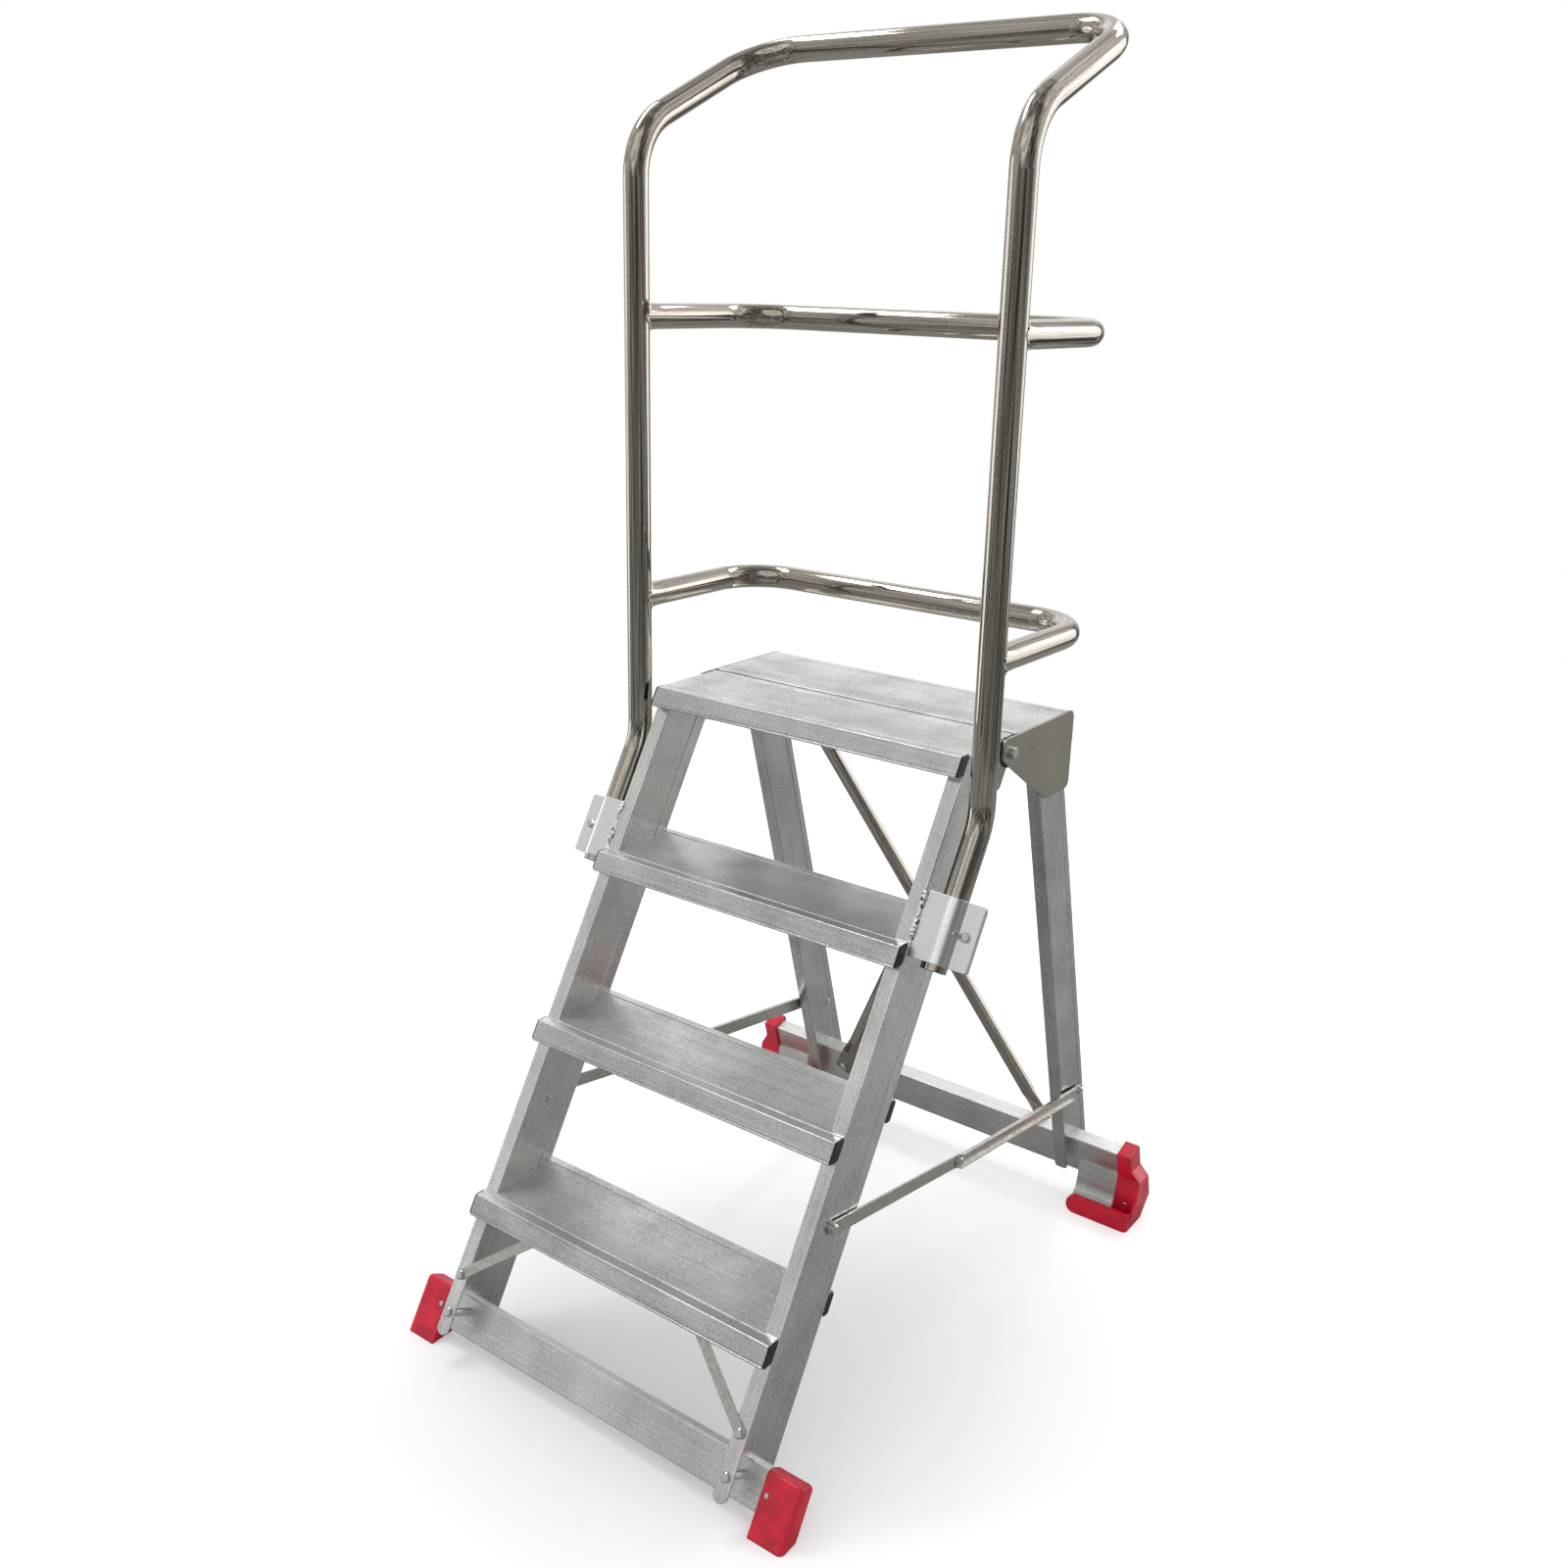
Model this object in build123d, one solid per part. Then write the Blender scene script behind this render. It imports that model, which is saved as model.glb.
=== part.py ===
from build123d import *
import os
from math import atan2, cos, degrees, hypot, radians, sin, tan

# Folding step ladder with a platform and a clamped guardrail, in millimetres.
# X runs across the ladder, Y to the rear, Z up. The floor is Z = 0.

# Levels and slopes
rise = 250.0                    # floor to tread, tread to tread, last tread to platform
tread_count = 3                 # treads below the platform
stile_angle = 59.68             # stiles to the floor, degrees
leg_angle = 73.91               # rear legs to the floor, degrees

# Stiles: hollow section whose front wall runs on below the side walls as a flap
stile_outer = 296.0             # outer face from the middle of the ladder
stile_width = 25.0
stile_depth = 102.5
stile_wall = 2.5
stile_groove_back = 75.0        # groove line on the side walls, behind the front face
stile_flap_end = 55.0           # tip of the flap, along the stile from the floor
stile_flap_bolt = 91.0          # bolt through the flap, along the stile
stile_side_lift = 13.0          # how much higher the side walls end at the front than on the bar
stile_heel_height = 24.0        # level end of the part behind the bar, above the floor
profile_groove_width = 2.0
profile_groove_depth = 0.8
profile_round = 1.6             # long outer edges of the hollow sections

# Treads and platform boards: flat plate with a box nose at the front and at the rear
tread_plate = 3.0
tread_wall = 2.2
nose_depth = 19.5               # front nose ahead of the stiles, square to them
nose_drop = 29.5
nose_line_drop = 24.0           # groove line across the front nose, below the top
nose_round = 2.0
rear_nose_depth = 13.5
tread_rib_drop = 12.0
tread_rib_spacing = 35.0
edge_strip = 14.0               # smooth strip between an edge and its groove line
cap_thickness = 2.4
cap_plug_length = 12.0
cap_plug_gap = 0.3
cap_corner = 4.5
board_gap = 5.0                 # between the front and the rear platform board
rear_board_depth = 170.0
rear_board_web = 2.5
rear_board_web_drop = 36.0

# Front base bar and its boots, in stile coordinates
front_bar_back = 43.0           # front face of the bar behind the stiles' front face
front_bar_thickness = 25.0
front_bar_bottom = 54.0
front_bar_height = 60.0
front_bar_half = 374.0
bar_wall = 2.5
front_boot_inner = 323.5
front_boot_end = 9.0            # wall past the end of the bar
front_boot_front = 6.5
front_boot_rear = 4.0
front_boot_top = 3.0
front_boot_round = 8.0
front_boot_screw_in = 10.0      # screw from the boot's inner edge
flap_spacer_radius = 6.5

# Straps between the stiles and the first tread
strap_width = 16.0
strap_thickness = 3.0
strap_foot = 152.0              # lower bolt, along the stile
strap_angle = 40.2              # rise of the strap towards the middle, degrees
strap_head_in_nose = 12.0       # upper bolt above the nose's lower edge

# Hinge between the two frames
pivot_behind_stile = 11.5
pivot_drop = 25.0               # below the platform
ear_thickness = 8.0
ear_radius = 20.0
ear_width = 21.5
ear_length = 78.0
hinge_bolt_radius = 5.0
hinge_head_across = 16.0
hinge_head_height = 6.4
hinge_nut_height = 7.0
washer_radius = 25.0
washer_thickness = 1.8
hinge_play = 0.2                # between faces that turn on each other
pivot_play = 0.05               # radial clearance of a pin in a turning part
gusset_thickness = 4.0
gusset_front = 26.0             # edges of the gusset plate from the pivot and the board
gusset_rear_reach = 15.5
gusset_depth = 134.0
gusset_foot_width = 82.0
gusset_lobe_depth = 33.0
gusset_corner = 14.0

# Rear legs, in leg coordinates
leg_outer = 298.0
leg_width = 25.0
leg_depth = 82.5
leg_wall = 2.5
leg_groove_back = 65.5
leg_setback = 79.0              # front face behind the pivot, at platform height
leg_flap_end = 64.0
leg_flap_corner = 7.0
leg_heel_end = 90.0             # lower end of the part behind the bar, along the leg

# Rear base bar, shoes and boots
rear_bar_back = 21.0
rear_bar_thickness = 29.0
rear_bar_bottom = 49.0
rear_bar_height = 80.0
rear_bar_half = 416.0
rear_foot_inner = 318.0         # inner end of the shoe and of the boot's tray
shoe_overlap = 33.0             # height of the shoe's cheeks on the bar
shoe_cheek = 3.0
shoe_waist_ahead = 12.5         # start of the shoe's sweep to the lip, ahead of the leg line on the floor
shoe_waist_height = 46.0
shoe_lip_drop = 20.0            # the sweep meets the lip's back that far below its top
rear_boot_outer = 440.0
rear_boot_neck_in = 396.0       # where the closed end of the boot starts
rear_boot_neck_out = 424.0
rear_boot_wall = 5.0
rear_boot_cap = 6.0             # boot above the top of the bar
rear_boot_edge = 1.5            # how far the closed end stands proud of the shoe
rear_boot_front_reach = 53.0    # front of the tray ahead of the leg line on the floor
rear_boot_sole_end = 12.0       # rear end of the sole behind that line
rear_boot_heel = 34.0           # height at which the heel meets the rear wall
rear_boot_rim = 52.0            # height of the tray's rear wall
rear_boot_lip = 35.5            # height and thickness of the tray's front wall
rear_boot_lip_thickness = 10.5
rear_boot_floor = 6.0
rear_boot_corner = 16.0         # rounding of the lip's inner end, seen from the front
rear_boot_round = 9.0
rear_boot_shoulder = 28.0       # the neck starts to widen that far below the top of the bar
rear_boot_lean = 24.0           # height over which it widens
rear_boot_pocket_ahead = 20.0   # foot of the pocket's rear face ahead of the leg line on the floor
rear_boot_pocket_wall = 3.0
rear_boot_screw_height = 33.0

# Cross braces between the rear base bar and the rear board: tubes with flattened ends
brace_radius = 12.5
brace_tab_width = 34.0
brace_tab_thickness = 3.0
brace_tab_end = 12.0            # flat end past the bolt
brace_tab_corner = 4.0
brace_flatten = 50.0            # length over which the flat end grows round
brace_flat_length = 46.0        # flat part from the bolt to the start of the round tube
brace_foot_below_bar_top = 36.0
brace_head_below_board = 28.0
front_brace_foot = -225.0
front_brace_head = 228.0
rear_brace_foot = 240.0
rear_brace_head = -229.0

# Side stays: two links that lock past the straight line
stay_front_back = 43.6          # front pivot in stile coordinates
stay_front_along = 449.5
stay_rear_back = 59.0           # rear pivot in leg coordinates
stay_rear_along = 219.0
stay_split = 0.443              # middle pivot, share of the way from front to rear
stay_over_centre = 4.5          # middle pivot below the straight line
stay_front_width = 22.0
stay_front_thickness = 3.0
stay_front_stand_off = 2.5      # front link from the stile's outer face
stay_link_gap = 0.5             # between the two links
stay_rivet_gap = 0.3            # middle rivet from the front link
stay_rear_width = 24.0
stay_rear_thickness = 2.0
stay_rear_lip = 7.0
stay_lip_thickness = 2.0
stay_lip_stop = 26.0            # lips end before the rear pivot
stay_bush_radius = 9.0
stay_rivet_end = 5.5            # rounded tail of a stay's bolt on the inner face
stay_rivet_end_height = 2.5

# Guardrail and its clamp sockets
rail_radius = 20.0
rail_wall = 2.0
rail_beside_stile = 37.0        # axis of the uprights from the stiles' outer face
rail_back = 26.0                # axis behind the stiles' front face, in the sockets
rail_tail = 10.0                # tube below the sockets
rail_lower_bend = 105.0
rail_upper_bend = 105.0
rail_corner_bend = 95.0
rail_shoulder = 862.0           # upper bend's corner above the platform
rail_height = 1005.0            # top bar's axis above the platform
rail_reach = 299.0              # top bar's axis behind the uprights
hoop_heights = (148.0, 592.5)   # axes above the platform
hoop_reach = 302.0
hoop_corner = 92.0
socket_drop = 208.7             # top of the sockets below the platform, along the stile
socket_length = 100.0
socket_ring = 23.2
socket_play = 0.3
socket_web = 4.0
socket_lip_corner = 4.5
socket_lip_reach = 51.0         # outer edge of the lips from the tube's axis
socket_lip_thickness = 5.0
socket_split = 2.0
socket_lip_behind_axis = -2.0   # front face of the clamp lips behind the tube's axis
socket_bolt_in = 16.0           # clamp bolt from the lips' outer edge
set_screw_turn = 30.0           # set screw round the ring, from the lips towards the front, degrees
set_screw_across = 8.0
set_screw_height = 4.5

# Small fasteners
bolt_radius = 4.0
bolt_head_radius = 7.5
bolt_head_height = 4.5
bolt_head_bevel = 2.0
nut_across = 13.0
nut_height = 6.5
screw_radius = 2.2
screw_head_radius = 4.2
screw_head_height = 2.0
screw_head_bevel = 1.0
grip_length = 9.0               # how far a screw or a blind bolt reaches in
past = 6.0                      # how far a cut runs past the piece that it cuts

# Worked out from the sizes above
slope = radians(stile_angle)
leg_slope = radians(leg_angle)
platform_top = rise * (tread_count + 1)
plate_under = platform_top - tread_plate
stile_foot = (nose_depth - rise * cos(slope)) / sin(slope)
stile_inner = stile_outer - stile_width
stile_middle = stile_outer - stile_width / 2
stile_long = (platform_top + stile_depth * cos(slope)) / sin(slope)
nose_end = stile_outer - cap_thickness
front_bar_top = front_bar_bottom + front_bar_height
front_bar_rear = front_bar_back + front_bar_thickness
rear_bar_top = rear_bar_bottom + rear_bar_height
rear_bar_rear = rear_bar_back + rear_bar_thickness
leg_inner = leg_outer - leg_width
ear_inner = stile_outer - ear_thickness
gusset_outer = leg_outer + gusset_thickness
front_boot_screw_x = front_boot_inner + front_boot_screw_in
front_boot_screw_along = front_bar_bottom + front_bar_height / 2
socket_top = platform_top / sin(slope) - socket_drop
socket_bottom = socket_top - socket_length
rail_half = stile_outer + rail_beside_stile
socket_lip_outer = rail_half + socket_lip_reach
socket_bolt_x = socket_lip_outer - socket_bolt_in
socket_lip_front = rail_back + socket_lip_behind_axis
socket_split_front = socket_lip_front + socket_lip_thickness
socket_split_rear = socket_split_front + socket_split
socket_lip_rear = socket_split_rear + socket_lip_thickness
socket_middle = (socket_top + socket_bottom) / 2
rear_boot_screw_x = (rear_boot_neck_in + rear_boot_outer) / 2
shoe_top = rear_bar_bottom + shoe_overlap


def stile_point(back, along):
    """Side-view point (y, z), behind the stile's front face and along it from the floor."""
    return (stile_foot + along * cos(slope) + back * sin(slope), along * sin(slope) - back * cos(slope))


def stile_y(back, z):
    """Y of the line at that distance behind the stile's front face, at height z."""
    return stile_foot + (back + z * cos(slope)) / sin(slope)


pivot_z = platform_top - pivot_drop
pivot_y = stile_y(stile_depth + pivot_behind_stile, pivot_z)
pivot_back = stile_depth + pivot_behind_stile
pivot_along = (pivot_z + pivot_back * cos(slope)) / sin(slope)
leg_foot = pivot_y + leg_setback + platform_top / tan(leg_slope)
leg_long = platform_top / sin(leg_slope)


def leg_point(back, along):
    """Side-view point (y, z), behind the leg's front face and along it from the floor."""
    return (leg_foot - along * cos(leg_slope) + back * sin(leg_slope),
            along * sin(leg_slope) + back * cos(leg_slope))


def leg_y(back, z):
    """Y of the line at that distance behind the leg's front face, at height z."""
    return leg_foot + (back - z * cos(leg_slope)) / sin(leg_slope)


board_front = stile_y(stile_depth + rear_nose_depth, platform_top) + board_gap
board_rear = board_front + rear_board_depth
tray_front = leg_foot - rear_boot_front_reach
lip_rear = tray_front + rear_boot_lip_thickness
sweep_end = (lip_rear, rear_boot_lip - shoe_lip_drop)
sole_rear = leg_foot + rear_boot_sole_end
tray_rear = leg_y(rear_bar_rear + rear_boot_wall, rear_boot_heel)
flap_tip_y = stile_point(0, stile_flap_end)[0]
heel_rear = leg_point(leg_depth, leg_heel_end)[0]
middle_y = (flap_tip_y + max(tray_rear, heel_rear)) / 2
pocket_head = leg_point(rear_bar_back - rear_boot_wall, shoe_top)
pocket_foot = (leg_foot - rear_boot_pocket_ahead, rear_boot_floor)
pocket_slope = (pocket_head[0] - pocket_foot[0]) / (pocket_head[1] - pocket_foot[1])
rear_boot_screw_seat = (pocket_foot[0] + pocket_slope
                        * (rear_boot_screw_height + screw_head_radius - rear_boot_floor))
upright_y = stile_y(-nose_depth, platform_top)
upright_foot_z = ((upright_y - stile_foot) * sin(slope) - rail_back) / cos(slope)
stay_front_pivot = stile_point(stay_front_back, stay_front_along)
stay_rear_pivot = leg_point(stay_rear_back, stay_rear_along)
stay_run = (stay_rear_pivot[0] - stay_front_pivot[0], stay_rear_pivot[1] - stay_front_pivot[1])
stay_sag = stay_over_centre / hypot(*stay_run)
stay_middle_pivot = (stay_front_pivot[0] + stay_split * stay_run[0] + stay_sag * stay_run[1],
                     stay_front_pivot[1] + stay_split * stay_run[1] - stay_sag * stay_run[0])
stay_front_in = stile_outer + stay_front_stand_off
stay_front_out = stay_front_in + stay_front_thickness
stay_rear_in = stay_front_out + stay_link_gap
stay_rear_out = stay_rear_in + stay_rear_thickness
stay_rivet_in = stay_front_out + stay_rivet_gap

# Coordinates across, behind the front face and along a stile or a rear leg
STILE = Plane(origin=(0, stile_foot, 0), x_dir=(1, 0, 0), z_dir=(0, cos(slope), sin(slope)))
LEG = Plane(origin=(0, leg_foot, 0), x_dir=(1, 0, 0), z_dir=(0, -cos(leg_slope), sin(leg_slope)))

# Set screw of the right socket in stile coordinates, from the tube's axis outwards
SET_SCREW = Plane(origin=(rail_half, rail_back, socket_middle), x_dir=(0, 0, 1),
                  z_dir=(cos(radians(set_screw_turn)), -sin(radians(set_screw_turn)), 0))


def block(low, high):
    """Block between two corners."""
    size = [end - start for start, end in zip(low, high)]
    return Pos(*low) * Box(*size, align=(Align.MIN, Align.MIN, Align.MIN))


def outline(*points):
    """Flat face inside straight edges."""
    return make_face(Polyline(*points, close=True))


def side_prism(face, x_low, x_high):
    """Solid of a side-view face between two distances across the ladder."""
    return extrude(Plane.YZ.offset(x_low) * face, amount=x_high - x_low, dir=(1, 0, 0))


def front_prism(face, y_low, y_high):
    """Solid of a front-view face between two depths."""
    return extrude(Plane.XZ.offset(-y_low) * face, amount=y_high - y_low, dir=(0, 1, 0))


def disc(centre, radius):
    """Round face about a point."""
    return Pos(*centre) * Circle(radius)


def bevelled_head(prism, axis, centre, seat, outward, radius, height, bevel):
    """Round head that rests on seat and points outward along the axis, with a bevelled rim."""
    crown = seat + outward * height
    head = prism(disc(centre, radius), min(seat, crown), max(seat, crown))
    rim = head.edges().filter_by(GeomType.CIRCLE).sort_by(axis)[-1 if outward > 0 else 0]
    return chamfer(rim, bevel)


def round_bolt(prism, axis, centre, seat, reach):
    """Round-headed bolt: the head rests on seat, the shank runs from there to reach."""
    outward = 1 if seat > reach else -1
    head = bevelled_head(prism, axis, centre, seat, outward, bolt_head_radius, bolt_head_height,
                         bolt_head_bevel)
    return head + prism(disc(centre, bolt_radius), min(seat, reach), max(seat, reach))


def small_screw(prism, axis, centre, seat, reach):
    """Small screw: the head rests on seat, the shank runs from there to reach."""
    outward = 1 if seat > reach else -1
    head = bevelled_head(prism, axis, centre, seat, outward, screw_head_radius, screw_head_height,
                         screw_head_bevel)
    return head + prism(disc(centre, screw_radius), min(seat, reach), max(seat, reach))


def hex_face(centre, across):
    """Hexagon about a point, measured across its flats."""
    return Pos(*centre) * RegularPolygon(across / 2, 6, major_radius=False)


def hollow_section(low, high, wall):
    """Hollow rectangle between two corners, with rounded outer edges."""
    size = [end - start for start, end in zip(low, high)]
    centre = [(start + end) / 2 for start, end in zip(low, high)]
    bore = Rectangle(size[0] - 2 * wall, size[1] - 2 * wall)
    return Pos(*centre) * (RectangleRounded(*size, profile_round) - bore)


def rounded_at(face, radius, *corners):
    """Flat face with the corners nearest to these points rounded."""
    for corner in corners:
        face = fillet(face.vertices().sort_by_distance((*corner, 0))[0], radius)
    return face


def mirrored(shape):
    """The same piece on the other side of the ladder."""
    return shape.mirror(Plane.YZ)


def slot_between(start, end, width):
    """Flat bar with round ends about two points."""
    run = (end[0] - start[0], end[1] - start[1])
    centre = ((start[0] + end[0]) / 2, (start[1] + end[1]) / 2)
    turned = Rot(0, 0, degrees(atan2(run[1], run[0]))) * SlotCenterToCenter(hypot(*run), width)
    return Pos(*centre) * turned


def front_stile():
    """Right stile: notched for the bar behind its flap, with level ends over the floor and under the board."""
    section = hollow_section((stile_inner, 0), (stile_outer, stile_depth), stile_wall)
    for face in (stile_inner, stile_outer):
        section -= outline((face - profile_groove_depth, stile_groove_back),
                           (face + profile_groove_depth, stile_groove_back),
                           (face + profile_groove_depth, stile_groove_back + profile_groove_width),
                           (face - profile_groove_depth, stile_groove_back + profile_groove_width))
    tube = extrude(Pos(0, 0, stile_flap_end) * section, amount=stile_long - stile_flap_end)
    under = stile_flap_end - past
    notch = outline((stile_wall, under), (stile_wall, front_bar_top + stile_side_lift),
                    (front_bar_back, front_bar_top), (front_bar_rear, front_bar_top), (front_bar_rear, under))
    tube -= side_prism(notch, stile_inner - past, stile_outer + past)
    flap_round = stile_width / 2
    tip = outline((stile_inner, under), (stile_outer, under), (stile_outer, stile_flap_end + flap_round),
                  (stile_inner, stile_flap_end + flap_round))
    tip -= disc((stile_middle, stile_flap_end + flap_round), flap_round)
    tube -= front_prism(tip, -past, stile_wall + past)
    for along in (stile_flap_bolt, strap_foot):
        tube -= front_prism(disc((stile_middle, along), bolt_radius), -past, stile_wall + past)
    tube -= side_prism(disc((stay_front_back, stay_front_along), bolt_radius), stile_inner - past,
                       stile_outer + past)
    above = block((0, 0, plate_under), (2 * stile_outer, 2 * platform_top, 2 * platform_top))
    below = block((0, -platform_top, -platform_top), (2 * stile_outer, platform_top, stile_heel_height))
    return STILE * tube - above - below


def slab(back_low, back_high, top, drop):
    """Side-view strip that hangs from a level line, with sides parallel to the stiles."""
    low = top - drop
    return outline((stile_y(back_low, top), top), (stile_y(back_high, top), top),
                   (stile_y(back_high, low), low), (stile_y(back_low, low), low))


def front_nose_hollow(top, gap=0.0):
    """Space inside the front nose, or a plug that fits it with a gap all round."""
    return slab(gap + tread_wall - nose_depth, -strap_thickness - tread_wall - gap,
                top - tread_plate - gap, nose_drop - tread_plate - tread_wall - 2 * gap)


def rear_nose_hollow(top, gap=0.0):
    """Space inside the rear nose, or a plug that fits it with a gap all round."""
    return slab(stile_depth + tread_wall + gap, stile_depth + rear_nose_depth - tread_wall - gap,
                top - tread_plate - gap, nose_drop - tread_plate - tread_wall - 2 * gap)


def tread_section(top):
    """Side view of a tread: plate, two box noses, ribs below and groove lines on the plate."""
    rear_edge = stile_depth + rear_nose_depth
    section = slab(-nose_depth, rear_edge, top, tread_plate)
    section += slab(-nose_depth, -strap_thickness, top, nose_drop) - front_nose_hollow(top)
    section += slab(stile_depth, rear_edge, top, nose_drop) - rear_nose_hollow(top)
    for rib in (1, 2):
        back = rib * tread_rib_spacing
        section += slab(back - tread_wall / 2, back + tread_wall / 2, top, tread_rib_drop)
    low = top - nose_drop
    section = rounded_at(section, nose_round, (stile_y(-nose_depth, top), top),
                         (stile_y(-nose_depth, low), low), (stile_y(rear_edge, top), top),
                         (stile_y(rear_edge, low), low))
    for back in (edge_strip - nose_depth, rear_edge - edge_strip - profile_groove_width):
        section -= slab(back, back + profile_groove_width, top, profile_groove_depth)
    section -= slab(-nose_depth, profile_groove_depth - nose_depth, top - nose_line_drop,
                    profile_groove_width)
    return section


def stile_envelopes():
    """Space that both stiles take up, open to the outside."""
    right = STILE * block((stile_inner, 0, 0), (stile_outer + past, stile_depth, stile_long + past))
    return [right, mirrored(right)]


def strap_ends():
    """Lower and upper bolt of the right strap, as (across, along) in stile coordinates."""
    nose_low = (rise - nose_drop - strap_thickness * cos(slope)) / sin(slope)
    climb = nose_low + strap_head_in_nose - strap_foot
    return (stile_middle, strap_foot), (stile_middle - climb / tan(radians(strap_angle)), strap_foot + climb)


def tread(level):
    """Tread at a level, notched at both ends for the stiles."""
    solid = side_prism(tread_section(rise * level), -nose_end, nose_end)
    for envelope in stile_envelopes():
        solid -= envelope
    if level == 1:
        across, along = strap_ends()[1]
        hole = STILE * front_prism(disc((across, along), bolt_radius), -strap_thickness - past, past)
        solid -= hole
        solid -= mirrored(hole)
    return solid


def platform_front_board():
    """Front platform board: its plate covers the stiles and its rear nose ends short of the ears."""
    solid = side_prism(tread_section(platform_top), -nose_end, nose_end)
    below = block((-2 * stile_outer, 0, 0), (2 * stile_outer, 2 * platform_top, plate_under))
    for envelope in stile_envelopes():
        solid -= envelope & below
    rear_edge = stile_depth + rear_nose_depth
    ear_room = side_prism(slab(stile_depth, rear_edge + past, plate_under, nose_drop + past),
                          ear_inner - hinge_nut_height - hinge_play, stile_outer)
    solid -= ear_room
    return solid - mirrored(ear_room)


def tread_end_caps():
    """Caps on the open ends of the noses, each a flange with a plug."""
    caps = []
    for level in range(1, tread_count + 2):
        top = rise * level
        noses = [(slab(-nose_depth, 0, top, nose_drop), front_nose_hollow(top, cap_plug_gap))]
        if level <= tread_count:
            noses.append((slab(stile_depth, stile_depth + rear_nose_depth, top, nose_drop),
                          rear_nose_hollow(top, cap_plug_gap)))
        for flange_face, plug_face in noses:
            flange = side_prism(fillet(flange_face.vertices(), cap_corner), nose_end, stile_outer)
            cap = flange + side_prism(plug_face, nose_end - cap_plug_length, nose_end)
            caps += [cap, mirrored(cap)]
    return caps


def front_base_bar():
    """Bar under both stiles, with holes for the flap bolts and the boot screws."""
    section = hollow_section((front_bar_back, front_bar_bottom), (front_bar_rear, front_bar_top), bar_wall)
    bar = side_prism(section, -front_bar_half, front_bar_half)
    for side in (-1, 1):
        bar -= front_prism(disc((side * stile_middle, stile_flap_bolt), bolt_radius),
                           front_bar_back - past, front_bar_rear + past)
        bar -= front_prism(disc((side * front_boot_screw_x, front_boot_screw_along), screw_radius),
                           front_bar_back - past, front_bar_back + past)
    return STILE * bar


def front_boot():
    """Right front boot: a rounded cap over the bar's end, cut level at the floor."""
    outer_end = front_bar_half + front_boot_end
    boot = block((front_boot_inner, front_bar_back - front_boot_front, 0),
                 (outer_end, front_bar_rear + front_boot_rear, front_bar_top + front_boot_top))
    rounded = boot.faces().sort_by(Axis.X)[-1].edges()
    rounded += boot.faces().sort_by(Axis.Z)[-1].edges().filter_by(Axis.X)
    boot = fillet(rounded, front_boot_round)
    foot = block((front_boot_inner, front_bar_back - front_boot_front, -past),
                 (outer_end, front_bar_rear + front_boot_rear, front_boot_round + past))
    upright = foot.edges().filter_by(Axis.Z).group_by(Axis.X)[-1]
    boot += fillet(upright, front_boot_round)
    boot -= block((front_boot_inner, front_bar_back, front_bar_bottom),
                  (front_bar_half, front_bar_rear, front_bar_top))
    boot -= front_prism(disc((front_boot_screw_x, front_boot_screw_along), screw_radius),
                        front_bar_back - front_boot_front - past, front_bar_back + past)
    below = block((0, -platform_top, -platform_top), (2 * platform_top, platform_top, 0))
    return STILE * boot - below


def front_boot_screw():
    """Screw through the boot's front into the bar."""
    seat = front_bar_back - front_boot_front
    return STILE * small_screw(front_prism, Axis.Y, (front_boot_screw_x, front_boot_screw_along), seat,
                               front_bar_back + bar_wall + screw_head_height)


def flap_bolt():
    """Bolt from the stile's flap through its spacer and the bar, with a nut behind the bar."""
    centre = (stile_middle, stile_flap_bolt)
    bolt = round_bolt(front_prism, Axis.Y, centre, 0, front_bar_rear + nut_height)
    nut = front_prism(hex_face(centre, nut_across), front_bar_rear, front_bar_rear + nut_height)
    return STILE * (bolt + nut)


def flap_spacer():
    """Sleeve on the flap bolt that holds the flap and the bar apart."""
    centre = (stile_middle, stile_flap_bolt)
    ring = disc(centre, flap_spacer_radius) - disc(centre, bolt_radius)
    return STILE * front_prism(ring, stile_wall, front_bar_back)


def lower_strap():
    """Right strap from the stile's front face up to the back of the first tread's nose."""
    lower, upper = strap_ends()
    strap = front_prism(slot_between(lower, upper, strap_width), -strap_thickness, 0)
    for centre in (lower, upper):
        strap -= front_prism(disc(centre, bolt_radius), -strap_thickness - past, past)
    return STILE * strap


def strap_bolts():
    """The right strap's two bolts: one into the stile, one into the nose from behind."""
    lower, upper = strap_ends()
    into_stile = round_bolt(front_prism, Axis.Y, lower, -strap_thickness, grip_length)
    into_nose = round_bolt(front_prism, Axis.Y, upper, 0, -strap_thickness - grip_length)
    return [STILE * into_stile, STILE * into_nose]


def hinge_ear():
    """Right ear: a thick plate on the stile's rear face that carries the hinge bolt."""
    foot = pivot_along - ear_length
    strip = outline((stile_depth, foot), (stile_depth + ear_width, foot + ear_width),
                    (stile_depth + ear_width, pivot_along), (stile_depth, pivot_along))
    face = strip + disc((pivot_back, pivot_along), ear_radius)
    face -= outline((0, foot), (stile_depth, foot), (stile_depth, 2 * stile_long), (0, 2 * stile_long))
    face -= disc((pivot_back, pivot_along), hinge_bolt_radius)
    return STILE * side_prism(face, ear_inner, stile_outer)


def hinge_washer():
    """Right washer between the ear and the gusset plate."""
    centre = (pivot_y, pivot_z)
    ring = disc(centre, washer_radius) - disc(centre, hinge_bolt_radius)
    return side_prism(ring, stile_outer, leg_outer - hinge_play)


def hinge_bolt():
    """Right hinge bolt: head outside the gusset plate, nut inside the ear."""
    centre = (pivot_y, pivot_z)
    seat = gusset_outer + hinge_play
    bolt = side_prism(disc(centre, hinge_bolt_radius), ear_inner - hinge_nut_height, seat)
    bolt += side_prism(hex_face(centre, hinge_head_across), seat, seat + hinge_head_height)
    return bolt + side_prism(hex_face(centre, hinge_head_across), ear_inner - hinge_nut_height, ear_inner)


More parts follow.
